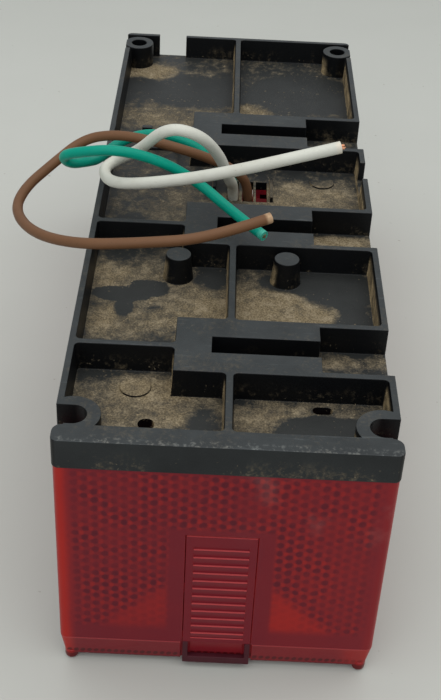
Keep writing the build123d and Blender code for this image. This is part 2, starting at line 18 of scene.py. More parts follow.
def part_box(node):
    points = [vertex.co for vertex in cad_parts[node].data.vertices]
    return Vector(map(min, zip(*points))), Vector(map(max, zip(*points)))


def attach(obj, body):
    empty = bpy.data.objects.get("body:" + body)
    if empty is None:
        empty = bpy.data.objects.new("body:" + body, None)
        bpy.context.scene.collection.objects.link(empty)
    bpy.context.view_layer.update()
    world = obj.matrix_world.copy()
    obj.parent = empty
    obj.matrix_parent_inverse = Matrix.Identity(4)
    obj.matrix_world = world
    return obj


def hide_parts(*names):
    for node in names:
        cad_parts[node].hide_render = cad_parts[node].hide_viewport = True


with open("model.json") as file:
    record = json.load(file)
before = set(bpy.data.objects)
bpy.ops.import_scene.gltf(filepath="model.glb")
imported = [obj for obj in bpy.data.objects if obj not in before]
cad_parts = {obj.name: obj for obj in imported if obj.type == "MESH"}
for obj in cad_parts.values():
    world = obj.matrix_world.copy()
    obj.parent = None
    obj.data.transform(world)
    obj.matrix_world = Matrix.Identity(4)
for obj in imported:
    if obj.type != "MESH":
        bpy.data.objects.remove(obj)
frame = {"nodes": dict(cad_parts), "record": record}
nodes = frame["nodes"]
slot_of = {part["node"]: part["material_slot"] for part in frame["record"]["subparts"]}
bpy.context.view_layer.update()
MM = 0.001

# %% [markdown]
# ## The camera
# The lamp is seen from a little above one short end, with a normal lens. A camera in Blender looks along
# its own -Z, so a track quaternion turns -Z to the line of sight, and a small roll about that line tilts
# the picture as a hand-held camera does. The clip distances suit an object of hand size.

# %% Place the camera
sensor_long_side = 36
focal_length = 66.35
elevation = math.radians(37.0)
azimuth = math.radians(0.56)
roll = math.radians(3.0)
camera_place = (-4.5, -300.4, 243.2)
camera_data = bpy.data.cameras.new("bench_camera")
camera_data.sensor_width = sensor_long_side
camera_data.lens = focal_length
camera_data.clip_start = 0.02
camera_data.clip_end = 20
camera = bpy.data.objects.new("bench_camera", camera_data)
bpy.context.scene.collection.objects.link(camera)
sight = Vector((math.sin(azimuth), math.cos(azimuth), -math.tan(elevation))).normalized()
camera.rotation_mode = "QUATERNION"
camera.rotation_quaternion = sight.to_track_quat("-Z", "Y") @ Quaternion((0, 0, 1), roll)
camera.location = Vector(camera_place) * MM
bpy.context.scene.camera = camera
print("camera looks along", [round(part, 3) for part in sight])

# %% [markdown]
# ## Wires that lie as wires do
# Each free wire is one smooth NURBS spline through listed control points, with a round bevel for its
# section. The bevel's depth is 1 and each point's own radius is the wire's, because Blender grows a curve's
# box by the radius of its points. The order is set to 3 after the points are added, because a new spline
# lowers it to the number of points it has. The white wire rises, folds back tightly at the left and runs
# out over the others. The green one makes a long hairpin, and the brown one swings out past the side.

# %% Route the wires
wire_radius = {"white": 1.5 * MM, "green": 1.35 * MM, "brown": 1.35 * MM}
section_steps = 5
steps_along = 14
wire_route = {
    "white": [
        (-0.15, 11.4, 59.3), (-0.15, 11.4, 65), (-1.8, 4, 71.5), (-4.5, -2.5, 82), (-9.5, -10, 91.5),
        (-18, -10.5, 93.5), (-25.5, -3.5, 82.5), (-31, 2, 77.2), (-34.9, -1.5, 75.9), (-33, -9, 76.4),
        (-26.5, -15.5, 79.5), (-13, -21.5, 85), (0, -25.5, 90.5), (12, -26, 94.5), (24.5, -23.5, 97),
    ],
    "green": [
        (-0.15, 17.4, 59.3), (-0.15, 17.4, 64.5), (-5.5, 15.5, 70.5), (-14, 17, 75.5), (-24, 19, 76.5),
        (-32.5, 17, 74), (-37, 8.5, 73), (-39.5, 1.5, 75.9), (-43.2, -5.5, 79), (-44.8, -8, 82.6),
        (-40.5, -11, 85.5), (-30, -13, 88), (-18.5, -12, 84.5), (-9, -11, 78), (-1, -18.5, 75),
        (7.5, -27.5, 73.5),
    ],
    "brown": [
        (3.9, 12, 59.3), (3.9, 12, 64.5), (1.2, 10.5, 69.8), (-6, 8.5, 74.5), (-14, 5, 79),
        (-24, 7, 80.5), (-33, 10, 80), (-41.5, 11, 77.5), (-49, 2.5, 74), (-55, -7, 72),
        (-56, -18, 71.5), (-49.5, -30.5, 73), (-37.5, -40, 76.5), (-22, -42, 79), (-6, -41, 80.5),
        (8.5, -33.5, 82.5),
    ],
}


def smooth_spline(name, points, radius):
    """A curve object of one open NURBS spline along points in millimetres, with a round section."""
    data = bpy.data.curves.new(name, "CURVE")
    data.dimensions = "3D"
    data.bevel_depth = 1
    data.bevel_resolution = section_steps
    data.use_fill_caps = True
    spline = data.splines.new("NURBS")
    spline.points.add(len(points) - 1)
    for point, place in zip(spline.points, points):
        point.co = [*(Vector(place) * MM), 1]
        point.radius = radius
    spline.order_u = 3
    spline.use_endpoint_u = True
    spline.resolution_u = steps_along
    piece = bpy.data.objects.new(name, data)
    bpy.context.scene.collection.objects.link(piece)
    return piece


wires = {}
for colour, points in wire_route.items():
    wires[colour] = smooth_spline(f"{colour}_insulated_wire", points, wire_radius[colour])
    print(colour, "wire has", len(points), "control points")

# %% [markdown]
# ## Copper strands at the cut ends
# Each wire ends cut off, with the copper just showing. A strand is a thin stub, a little narrower at its
# end; seven of them make a bundle, one in the middle and six round it, and each leans out a little by its
# own seeded amount. They are made along +Z with bmesh's cone operator and then turned to the wire's last
# direction.

# %% Make the strands
strand_count = 7
strand_radius = 0.17 * MM
strand_ring = 0.42 * MM
strand_root = 0.3 * MM
most_lean = 9
strand_reach = {"white": 1.5 * MM, "green": 0.7 * MM, "brown": 0.5 * MM}


def strand_bundle(name, tip, direction, longest, seed):
    """Copper strands that stand out of a cut end at tip, the last of them in the middle."""
    chance = random.Random(seed)
    form = bmesh.new()
    for strand in range(strand_count):
        angle = strand * math.tau / (strand_count - 1)
        ring = 0 if strand == strand_count - 1 else strand_ring
        reach = longest * chance.uniform(0.55, 1.0)
        made = bmesh.ops.create_cone(
            form, cap_ends=True, segments=8, radius1=strand_radius, radius2=strand_radius * 0.8, depth=reach
        )["verts"]
        bmesh.ops.translate(form, verts=made, vec=(0, 0, reach / 2))
        lean_axis = (-math.sin(angle), math.cos(angle), 0)
        lean = Matrix.Rotation(math.radians(chance.uniform(0, most_lean)), 3, lean_axis)
        bmesh.ops.rotate(form, verts=made, cent=(0, 0, 0), matrix=lean)
        bmesh.ops.translate(form, verts=made, vec=(ring * math.cos(angle), ring * math.sin(angle), 0))
    turn = direction.to_track_quat("Z", "Y").to_matrix().to_4x4()
    bmesh.ops.transform(form, matrix=Matrix.Translation(tip) @ turn, verts=form.verts)
    data = bpy.data.meshes.new(name)
    form.to_mesh(data)
    form.free()
    piece = bpy.data.objects.new(name, data)
    bpy.context.scene.collection.objects.link(piece)
    return piece


strands = {}
for seed, (colour, points) in enumerate(wire_route.items()):
    tip = Vector(points[-1]) * MM
    along = (Vector(points[-1]) - Vector(points[-2])).normalized()
    strands[colour] = strand_bundle(
        f"{colour}_copper_strands", tip - along * strand_root, along, strand_reach[colour], seed
    )
    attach(strands[colour], "lamp")
    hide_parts(f"{colour}_wire_end")
    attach(wires[colour], "lamp")
    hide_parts(f"{colour}_wire")
print("three wires with bare ends")

# %% [markdown]
# ## A short hand for shader maths
# A finish is a graph of nodes, and long graphs are hard to read as calls. The class below wraps one output
# socket, and Python's own operators on it add Math nodes, so that a mask can be written as a formula. Every
# other node comes from one method of the finish, which takes the node's type, its settings and its sockets.

# %% Wrap sockets and finishes


class Flow:
    """A socket's value on its way through a finish. Arithmetic on it adds Math nodes."""

    def __init__(self, finish, socket):
        self.finish = finish
        self.socket = socket

    def sum_with(self, operation, first, second=0.0, clamp=False):
        settings = {"operation": operation, "use_clamp": clamp}
        return self.finish.node("ShaderNodeMath", settings, {0: first, 1: second})

    def __add__(self, other):
        return self.sum_with("ADD", self, other)

    def __radd__(self, other):
        return self.sum_with("ADD", other, self)

    def __sub__(self, other):
        return self.sum_with("SUBTRACT", self, other)

    def __rsub__(self, other):
        return self.sum_with("SUBTRACT", other, self)

    def __mul__(self, other):
        return self.sum_with("MULTIPLY", self, other)

    def __rmul__(self, other):
        return self.sum_with("MULTIPLY", other, self)

    def __truediv__(self, other):
        return self.sum_with("DIVIDE", self, other)

    def __abs__(self):
        return self.sum_with("ABSOLUTE", self)

    def __mod__(self, other):
        return self.sum_with("FLOORED_MODULO", self, other)

    def least(self, other):
        return self.sum_with("MINIMUM", self, other)

    def most(self, other):
        return self.sum_with("MAXIMUM", self, other)

    def held(self):
        """The value held between 0 and 1."""
        return self.sum_with("ADD", self, 0.0, clamp=True)

    def rise(self, low, high):
        """0 below low, 1 above high, and a smooth step between them. A falling step has low above high."""
        if low > high:
            return 1 - self.rise(high, low)
        settings = {"interpolation_type": "SMOOTHSTEP"}
        return self.finish.node("ShaderNodeMapRange", settings, {0: self, 1: low, 2: high, 3: 0.0, 4: 1.0})


class Finish:
    """One material: a Principled shader and the nodes that feed it."""

    def __init__(self, name, **shader):
        self.material = bpy.data.materials.new(name)
        self.material.use_nodes = True
        self.tree = self.material.node_tree
        self.shader = self.tree.nodes["Principled BSDF"]
        self.place = self.node("ShaderNodeTexCoord", out="Object")
        self.facing = self.node("ShaderNodeNewGeometry", out="Normal")
        self.set(**{key.replace("_", " "): value for key, value in shader.items()})

    def node(self, kind, settings=None, sockets=None, out=0):
        """Adds a node, with its settings first, then its sockets, and gives the flow out of it."""
        made = self.tree.nodes.new(kind)
        for key, value in (settings or {}).items():
            setattr(made, key, value)
        for key, value in (sockets or {}).items():
            self.fill(made.inputs[key], value)
        return Flow(self, made.outputs[out])

    def fill(self, socket, value):
        """Links a flow to a socket, or sets the socket to a value."""
        if isinstance(value, Flow):
            self.tree.links.new(value.socket, socket)
        elif socket.type == "RGBA" and len(value) == 3:
            socket.default_value = (*value, 1)
        else:
            socket.default_value = value

    def set(self, **sockets):
        """Fills the shader's own sockets."""
        for name, value in sockets.items():
            self.fill(self.shader.inputs[name], value)

    def parts(self, vector):
        """The x, y and z of a vector flow."""
        made = self.tree.nodes.new("ShaderNodeSeparateXYZ")
        self.fill(made.inputs[0], vector)
        return [Flow(self, output) for output in made.outputs]

    def stretched(self, scale):
        """The place on the object, scaled by a different amount along each axis."""
        return self.node("ShaderNodeMapping", None, {"Vector": self.place, "Scale": scale})

    def noise(self, size_mm, detail=4.0, roughness=0.55, where=None):
        """Cloudy noise around 0.5, with spots of about size_mm."""
        sockets = {
            "Vector": where or self.place,
            "Scale": 1 / (size_mm * MM),
            "Detail": detail,
            "Roughness": roughness,
        }
        return self.node("ShaderNodeTexNoise", None, sockets)

    def mix(self, factor, first, second):
        """The second colour over the first, as far as the factor says."""
        return self.node("ShaderNodeMix", {"data_type": "RGBA"}, {0: factor, 6: first, 7: second}, out=2)

    def bump(self, height, distance_mm, strength=1.0):
        """A bump of that height, in millimetres, feeds the shader's normal."""
        sockets = {"Height": height, "Distance": distance_mm * MM, "Strength": strength}
        self.set(Normal=self.node("ShaderNodeBump", None, sockets))


finishes = {}
print("shader short hand is ready")

# %% [markdown]
# ## Black plastic with road dust
# The back is a dull black moulding. Its upright faces are nearly black, and its top faces are painted a
# bluish grey, a painted sheen of the light from above mixed with scuffs. Dust lies on the floors of the
# cells, thins out up the walls, and clings to the walls that face left, where its tan is painted lighter,
# as if lit. A mask of the height and the facing says where dust can lie. Clouds of noise at three sizes
# break it up, and a few soft round patches say where it lies thick and where something has rubbed it away.
# Grains of two browns and a bump make it matt and rough.

# %% Say where the dust lies
floor_thickness = 2.6 * MM
floor_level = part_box("base_housing")[0].z + floor_thickness
rim_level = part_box("base_housing")[1].z
rim_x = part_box("base_housing")[1].x
rim_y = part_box("base_housing")[1].y
# Each patch is a place on the back, its reach to either side and along, and how strongly it counts.
thick_dust = [
    (11, -45, 22, 12, 1.5), (8, -36, 12, 10, 0.7), (-8, -42, 14, 18, 0.8), (-25, -50, 15, 9, 0.9),
    (-22, -30, 22, 8, 0.7), (-31, -38, 6, 16, 0.6), (20, 10, 24, 14, 0.95), (-17, 4, 22, 11, 0.5),
    (-22, 58, 22, 10, 0.8), (5, 61, 9, 9, 1.5), (-29, 88, 11, 8, 1.6), (8, -86, 14, 8, 0.9),
    (20, -79, 22, 5, 0.5), (-24, -82, 18, 12, 0.9), (-16, -75, 12, 6, 0.6), (-8, -82, 9, 12, 0.6),
    (22, -10, 12, 8, 0.8), (29, -10, 12, 3.5, 1.2), (29, -62.5, 14, 3.5, 0.8), (6, -70, 12, 2.5, 1.3),
]
rubbed_bare = [
    (26, -33, 12, 9, 1.4), (13.5, -31, 7, 5, 1.4), (21, -87, 12, 5, 2.2), (-27, -38.5, 7.5, 3.5, 3.2),
    (-20.5, -35.5, 6, 4, 3.2), (-26, -44, 2.5, 5, 1.6), (20, 76, 20, 15, 1.4), (-12, 76, 18, 13, 1.2),
    (26, -4, 12, 5, 0.7), (-28, -7, 9, 6, 0.6), (30, -50, 6, 12, 1.6), (-5, -86, 5, 5, 0.9),
    (-31, 80, 6, 6, 1.5), (-5, -30, 7, 6, 0.9),
]


def patches(finish, places):
    """The sum of soft round patches, each 1 times its strength in the middle and 0 at its reach."""
    across, along, _ = finish.parts(finish.place)
    wobble = (finish.noise(5, 7, 0.72) - 0.5) * 1.9
    total = None
    for x, y, reach_x, reach_y, strength in places:
        offset_x = (across - x * MM) / (reach_x * MM)
        offset_y = (along - y * MM) / (reach_y * MM)
        soft = (1 - (offset_x * offset_x + offset_y * offset_y) + wobble).held() * strength
        total = soft if total is None else total + soft
    return total


def dust_cover(finish, clouds, drifts, flecks, floors, tops):
    """How far dust covers the back, and how much of it is the tan dust on the walls that face left, which
    is painted lighter, as if lit.
    """
    across, _, up = finish.parts(finish.place)
    side, _, level = finish.parts(finish.facing)
    low = up.rise(floor_level + 5.5 * MM, floor_level)
    cover = clouds * 1.3 + drifts * 1.5 + flecks * 0.9 - 1.8
    cover = cover + patches(finish, thick_dust) * 0.75 - patches(finish, rubbed_bare)
    # the dust on walls that face left; its tan is painted lighter, as if lit
    left_wall_dust_and_light = side.rise(-0.6, -0.9) * across.rise(6.5 * MM - rim_x, 8.5 * MM - rim_x)
    left_wall_dust_and_light = left_wall_dust_and_light * (clouds * 1.6 + drifts * 1.6 - 0.95)
    left_wall_dust_and_light = left_wall_dust_and_light.held() * up.rise(rim_level - 0.8 * MM, rim_level - 3.2 * MM)
    walls = (1 - abs(level).rise(0.2, 0.5)) * low * (clouds * 1.3 + flecks - 1.22) * 1.5
    specks = finish.noise(0.8, 2, 0.5).rise(0.66, 0.72) * finish.noise(8, 2).rise(0.45, 0.6)
    film = tops * (flecks * 1.5 + finish.noise(9, 3) - 1.3) * 0.5
    dust = floors * cover.held() + left_wall_dust_and_light + walls.held() + film.held() + specks * low * 0.5
    return dust.held(), left_wall_dust_and_light


print(len(thick_dust), "dusty patches and", len(rubbed_bare), "bare ones")

# %% Wear the black plastic
moulding_black = (0.002, 0.0024, 0.003)
bare_floor_grey = (0.10, 0.105, 0.10)
sheen_and_wear_grey = (0.10, 0.112, 0.115)
scuff_grey = (0.22, 0.23, 0.22)
sheen_and_wear_band = 0.3 * MM


def scuffed_black_with_sheen(finish, clouds, flecks, floors, tops):
    """The moulding's colour, greyed on bare floors, worn and painted with a sheen on its tops and outer
    rim, and scuffed along the near edge.
    """
    across, along, _ = finish.parts(finish.place)
    streaks = finish.noise(2.5, 4, 0.7, finish.stretched((0.25, 2.2, 1)))
    outside = abs(across).rise(rim_x - sheen_and_wear_band, rim_x).most(abs(along).rise(rim_y - sheen_and_wear_band, rim_y))
    # painted sheen: the tops and the outer band of the rim are greyer as if they catch the light from
    # above, mixed with real wear and scratch streaks
    sheen_and_wear = (tops * 0.3 + outside * 0.15) * (0.35 + clouds * 1.3) + tops * streaks.rise(0.60, 0.72) * 0.25
    near_edge = tops * along.rise(2.6 * MM - rim_y, 0.8 * MM - rim_y) * flecks.rise(0.5, 0.66) * 0.4
    bare_floor = floors * (0.12 + clouds * 0.2)
    black = finish.mix(bare_floor, moulding_black, bare_floor_grey)
    black = finish.mix(sheen_and_wear, black, sheen_and_wear_grey)
    return finish.mix(near_edge, black, scuff_grey)


print("black plastic is worn")

# %% Mix the black plastic
dust_brown = (0.135, 0.10, 0.055)
dust_light_brown = (0.27, 0.212, 0.128)
dust_drift = (0.35, 0.285, 0.19)
lit_dust_tan = (0.50, 0.37, 0.20)


def dusty_black(name):
    """The back's finish: dust over worn black plastic."""
    finish = Finish(name, Specular_IOR_Level=0.2)
    _, _, up = finish.parts(finish.place)
    _, _, level = finish.parts(finish.facing)
    clouds = finish.noise(11, 6, 0.62)
    drifts = finish.noise(3.2, 5, 0.7)
    flecks = finish.noise(1.3, 4, 0.7)
    grains = finish.noise(0.4, 2, 0.6)
    flat = level.rise(0.7, 0.95)
    floors = flat * up.rise(floor_level + 2 * MM, floor_level + 1.2 * MM)
    tops = flat * up.rise(rim_level - 2 * MM, rim_level - 0.5 * MM)
    cover, left_wall_dust_and_light = dust_cover(finish, clouds, drifts, flecks, floors, tops)
    dust = cover * (0.62 + grains * 0.6).held()
    dust_colour = finish.mix(grains.rise(0.3, 0.7), dust_brown, dust_light_brown)
    dust_colour = finish.mix(drifts.rise(0.45, 0.7) * 0.6, dust_colour, dust_drift)
    # painted light: the dust on walls that face left takes a lighter tan, as if lit
    dust_colour = finish.mix(left_wall_dust_and_light, dust_colour, lit_dust_tan)
    black_with_sheen_and_wear = scuffed_black_with_sheen(finish, clouds, flecks, floors, tops)
    finish.set(**{
        "Base Color": finish.mix(dust * 0.93, black_with_sheen_and_wear, dust_colour),
        "Roughness": 0.38 + dust * 0.5 + flecks * 0.14,
    })
    finish.bump(grains * 0.3 + flecks * dust * 1.6, 0.12)
    return finish


finishes["black_plastic"] = dusty_black("black_plastic_with_dust")
print("black plastic is mixed")

# %% Mix the latch loops' plastic
loop_dark = (0.042, 0.005, 0.010)
loop_light = (0.07, 0.010, 0.017)


def loop_plastic(name):
    """A very dark red plastic with a dull, cloudy skin."""
    finish = Finish(name, Specular_IOR_Level=0.25)
    clouds = finish.noise(3, 4)
    finish.set(**{
        "Base Color": finish.mix(clouds, loop_dark, loop_light),
        "Roughness": 0.4 + clouds * 0.2,
    })
    finish.bump(clouds, 0.05)
    return finish


finishes["dark_plastic"] = loop_plastic("latch_loop_plastic")
print("latch loops' plastic is mixed")

# %% [markdown]
# ## Red translucent plastic
# The body, the lens and the reflectors are one clear red acrylic. Light goes into it and comes out deeper,
# so it looks dark red where it is thick or has a dark space behind it; the orange where light comes through
# a corner is a painted glow in the colour. A weak glow of the same colour stands for the light that wanders
# about inside it. It is kept off the inner walls, which are painted dark as shade, because otherwise the
# wire outlet would shine red. A thin clear coat gives the polished skin, and upward faces such as the
# latch's ledges are painted brighter, as if lit from above.

# %% Measure the red mouldings
deep_red = (0.108, 0.0062, 0.010)
glow_orange_red = (0.235, 0.0095, 0.006)
lit_ledge_red = (0.42, 0.07, 0.07)
inner_shade_black = (0.008, 0.001, 0.001)
pale_rim_red = (0.25, 0.05, 0.05)
pale_haze = (0.45, 0.33, 0.30)
inner_light = 0.42
body_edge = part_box("lamp_body")[1].x
body_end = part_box("lamp_body")[0].y
seam_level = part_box("lamp_body")[0].z
body_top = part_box("lamp_body")[1].z
latch_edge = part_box("near_latch_tongue")[1].x
latch_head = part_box("near_latch_tongue")[1].z
print("the body stands", round((body_top - seam_level) / MM, 1), "mm above the lens's seam")

# %% [markdown]
# ## Prisms in the end panels
# Under the skin of an end panel there are rows of small prisms in a honeycomb, which show as dark dots with
# a painted glint, a brighter highlight, between them. The centres of a honeycomb are those of two
# rectangular grids, one shifted half a cell both ways, so the mask is the distance to the nearest centre of
# either. A slow noise bends the rows a little. Either side of the latch a triangle is left plain and is
# painted with a glow, as if light from inside came through it.

# %% Draw the prisms
dot_pitch = 2.45 * MM
row_sway = 1.3 * MM
triangle_top = 23 * MM
triangle_blur = 5 * MM
triangle_slope = 0.95


def honeycomb(first, second, pitch):
    """The squared distance, in pitches, to the nearest centre of a honeycomb laid along two directions."""
    tall = pitch * math.sqrt(3)
    near = None
    for shift in (0, 0.5):
        u = (first / pitch + shift) % 1 - 0.5
        v = ((second / tall + shift) % 1 - 0.5) * math.sqrt(3)
        distance = u * u + v * v
        near = distance if near is None else near.least(distance)
    return near


def panel_prisms(finish, colour, clouds, left_edge, deep, bright):
    """The colour with the prisms drawn over it, on faces that look along the lamp."""
    across, _, up = finish.parts(finish.place)
    _, end_on, _ = finish.parts(finish.facing)
    ends = abs(end_on).rise(0.7, 0.9)
    offset = abs(across)
    beside = offset.rise(latch_edge + 0.8 * MM, latch_edge + 2.2 * MM)
    over = up.rise(latch_head + 1 * MM, latch_head + 3 * MM)
    inside = beside.most(over) * (body_edge - offset).rise(1.8 * MM, 5.5 * MM)
    inside = inside * up.rise(seam_level + 3.5 * MM, seam_level + 6.5 * MM)
    inside = inside * up.rise(body_top, body_top - 1 * MM)
    slant = up - seam_level + (offset - latch_edge) * triangle_slope
    triangle = slant.rise(triangle_top, triangle_top - triangle_blur) * beside
    sway = (finish.noise(3, 3) - 0.5) * row_sway
    dot = honeycomb(up + sway, across + sway, dot_pitch).rise(0.19, 0.02)
    # painted highlight: a brighter glint between the prism dots
    glint = honeycomb(up + sway, across - dot_pitch * 0.5, dot_pitch).rise(0.12, 0.0)
    faded = finish.noise(7, 3).rise(0.35, 0.65)
    shown = (1 - triangle * 0.75) * (0.35 + faded * 0.65) * ends * inside
    right_half = across.rise(-4 * MM, 4 * MM)
    # painted light: the plain triangles glow as if lit from inside, more on the right
    lit = triangle * ends * inside * (0.15 + clouds * 0.7) * (0.55 + right_half * 0.6)
    colour = finish.mix(lit.held(), colour, bright)
    colour = finish.mix(glint * shown * 0.45, colour, bright)
    colour = finish.mix(dot * shown * 0.72, colour, [deep[0] * 0.36, deep[1] * 0.5, deep[2] * 0.9])
    margin = (1 - inside) * ends * (1 - left_edge)
    return finish.mix(margin * 0.3, colour, [deep[0] * 0.62, deep[1] * 0.9, deep[2] * 1.3])


print("prisms are", round(dot_pitch / MM, 2), "mm apart")

# %% [markdown]
# ## Flutes along the lens
# The lens's own walls carry a row of small flutes below the seam, which show as dark dots. Its top rim is
# paler, its right corner has a painted orange glow, and below the flutes it is painted darker as its own
# shade.

# %% Draw the flutes
flute_pitch = 1.55 * MM
flute_drop = 5.2 * MM


def lens_flutes(finish, colour, clouds, upright, deep, bright):
    """The colour with the flutes drawn over it, on upright faces."""
    across, along, up = finish.parts(finish.place)
    offset = ((across + along) / flute_pitch) % 1 - 0.5
    drop = (seam_level - up - flute_drop) / flute_pitch
    row = (offset * offset + drop * drop * 0.6).rise(0.22, 0.05)
    colour = finish.mix(row * upright * 0.75, colour, [part * 0.25 for part in deep])
    # painted light: an orange glow on the right corner
    corner = (across - body_edge).rise(-9 * MM, -4 * MM)
    colour = finish.mix(corner * upright * clouds, colour, bright)
    rim = (seam_level - up).rise(0.5 * MM, 0.1 * MM) * upright
    colour = finish.mix(rim * 0.35, colour, pale_rim_red)
    # painted shade: darker below the flutes
    under = (seam_level - up).rise(6 * MM, 6.8 * MM)
    return finish.mix(under * 0.75, colour, [part * 0.3 for part in deep])


print("flutes are", round(flute_pitch / MM, 2), "mm apart")

# %% Mix the red plastics


def inner_walls(finish):
    """1 on the walls of the body's hollow, 0 on its outer skin and its ends."""
    across, along, _ = finish.parts(finish.place)
    _, _, level = finish.parts(finish.facing)
    deep_in = abs(across).rise(body_edge - 3 * MM, body_edge - 4 * MM)
    deep_in = deep_in * abs(along).rise(-body_end - 4.5 * MM, -body_end - 5.5 * MM)
    return deep_in * level.rise(-0.6, -0.3)


def red_plastic(name, deep, bright, panel=False, flutes=False):
    """Translucent red, with prisms on its ends or flutes on its walls."""
    finish = Finish(name, Coat_Weight=0.05, Coat_Roughness=0.12, Specular_IOR_Level=0.16)
    across, along, up = finish.parts(finish.place)
    _, end_on, level = finish.parts(finish.facing)
    clouds = finish.noise(13, 3)
    fine = finish.noise(1.6, 3)
    upright = abs(level).rise(0.4, 0.2)
    left_edge = (across + body_edge).rise(4.2 * MM, 1.4 * MM)
    right_edge = (body_edge - across).rise(3.5 * MM, 1 * MM)
    corners = abs(end_on).rise(0.5, 0.8)
    on_sides = (1 - corners) * upright * abs(along).rise(-body_end - 5 * MM, -body_end - 1 * MM) * 0.5
    # painted light: an orange glow along the left and right edges of the ends, on the sides near the ends,
    # in clouds and towards the right, as if light came through the plastic
    glow = (left_edge * 0.85 + right_edge * 0.3) * corners + on_sides + (clouds - 0.45) * 0.45
    glow = glow + across.rise(0, 25 * MM) * corners * 0.12
    colour = finish.mix(glow.held(), deep, bright)
    if panel:
        colour = panel_prisms(finish, colour, clouds, left_edge, deep, bright)
    if flutes:
        colour = lens_flutes(finish, colour, clouds, upright, deep, bright)
    haze = finish.noise(9, 4).rise(0.5, 0.8) * up.rise(body_top - 26 * MM, body_top) * 0.16
    haze = haze * across.rise(-5 * MM, 25 * MM)
    colour = finish.mix(haze, colour, pale_haze)
    hidden = inner_walls(finish)
    skin = 1 - hidden
    # painted shade: the walls of the hollow are darkened towards near black
    shaded = finish.mix(hidden * 0.75, colour, inner_shade_black)
    # painted light: upward faces such as the latch's ledges are mixed towards a brighter red as if lit from
    # above, and the emission is a painted glow of the light inside the plastic
    finish.set(**{
        "Base Color": finish.mix(level.rise(0.5, 0.9) * skin * 0.9, shaded, lit_ledge_red),
        "Roughness": 0.28 + fine * 0.14 + haze,
        "Emission Color": finish.mix(skin * inner_light, (0, 0, 0), colour),
        "Emission Strength": 1.0,
    })
    finish.bump(fine, 0.03)
    return finish


finishes["red_plastic"] = red_plastic("red_body_plastic", deep_red, glow_orange_red, panel=True)
finishes["reflex_red"] = red_plastic("red_reflector_plastic", deep_red, glow_orange_red, panel=True)
finishes["lens_red"] = red_plastic("red_lens_plastic", deep_red, glow_orange_red, flutes=True)
print("red plastics are mixed")

# %% [markdown]
# ## Wire insulation
# The wires are soft vinyl with a dull shine. Each is stained where it comes out of the dirty cell, has
# faint clouds along it from handling, and is torn and paler round its cut end, the pale partly a painted
# highlight.

# %% Mix the insulation


def insulation(name, clean, stained, tip_torn_and_lit, tip, roughness, shine):
    """Vinyl in a clean and a stained colour, torn to a third, paler one round the tip, which is partly a
    painted highlight.
    """
    finish = Finish(name, Specular_IOR_Level=shine)
    _, _, up = finish.parts(finish.place)
    clouds = finish.noise(7, 4, 0.6)
    grime = finish.noise(1.8, 4, 0.65)
    specks = finish.noise(0.7, 2).rise(0.68, 0.74)
    start = up.rise(80 * MM, 64 * MM) * 0.6
    stain = (start * grime * 1.6 + (clouds - 0.45) * 0.7 + specks * 0.4).held()
    distance = {"operation": "DISTANCE"}
    to_tip = finish.node("ShaderNodeVectorMath", distance, {0: finish.place, 1: tip}, "Value")
    # partly a painted highlight: the tip is torn and paler, mixed towards a lighter colour near the cut end
    torn_and_lit_tip = to_tip.rise(2.3 * MM, 1.5 * MM) * (grime * 1.8 - 0.3).held()
    finish.set(**{
        "Base Color": finish.mix(torn_and_lit_tip, finish.mix(stain, clean, stained), tip_torn_and_lit),
        "Roughness": roughness + grime * 0.15,
    })
    finish.bump(grime, 0.05)
    return finish


# Each wire's clean, stained and tip colours (the tip torn and partly a painted highlight), its roughness
# and its specular level.
wire_looks = {
    "white": ((0.60, 0.60, 0.53), (0.36, 0.33, 0.25), (0.7, 0.62, 0.5), 0.4, 0.4),
    "green": ((0.0, 0.275, 0.19), (0.0, 0.14, 0.098), (0.08, 0.45, 0.34), 0.24, 0.14),
    "brown": ((0.15, 0.071, 0.033), (0.095, 0.045, 0.023), (0.55, 0.37, 0.22), 0.42, 0.2),
}
for colour, (clean, stained, tip_torn_and_lit, roughness, shine) in wire_looks.items():
    tip = Vector(wire_route[colour][-1]) * MM
    vinyl = insulation(f"{colour}_vinyl", clean, stained, tip_torn_and_lit, tip, roughness, shine)
    finishes[f"{colour}_insulation"] = vinyl
print("insulation is mixed")

# %% [markdown]
# ## Metals, glass and fibre inside
# The socket, the contacts and the lamps are hidden until the lens comes off, and they get the same care:
# brass with tarnish in clouds, zinc-plated steel with a faint yellow cast, spring wire, solder, pressed
# fibre and clear glass with a little dust on it.

# %% Mix the inner finishes


def metal(name, bright, tarnished, roughness, grain_mm=0.5):
    """Bare metal with clouds of tarnish and a fine grain."""
    finish = Finish(name, Metallic=1.0)
    tarnish = finish.noise(4, 5, 0.6)
    grain = finish.noise(grain_mm, 3)
    finish.set(**{
        "Base Color": finish.mix(tarnish.rise(0.4, 0.7), bright, tarnished),
        "Roughness": roughness + tarnish * 0.2 + grain * 0.08,
    })
    finish.bump(grain, 0.02)
    return finish


def moulded(name, light, dark, roughness, grain_mm=0.8):
    """A dull, grainy moulding in a light and a dark shade."""
    finish = Finish(name)
    clouds = finish.noise(5, 4)
    grain = finish.noise(grain_mm, 3)
    finish.set(**{
        "Base Color": finish.mix(clouds * 0.6 + grain * 0.4, light, dark),
        "Roughness": roughness + grain * 0.12,
    })
    finish.bump(grain, 0.05)
    return finish


def lamp_glass(name):
    """Clear glass with a faint film on it."""
    finish = Finish(name, Transmission_Weight=1.0, IOR=1.3)
    film = finish.noise(6, 4)
    finish.set(**{
        "Base Color": finish.mix(film.rise(0.5, 0.8), (0.97, 0.98, 0.98), (0.8, 0.8, 0.76)),
        "Roughness": 0.02 + film * 0.06,
    })
    return finish


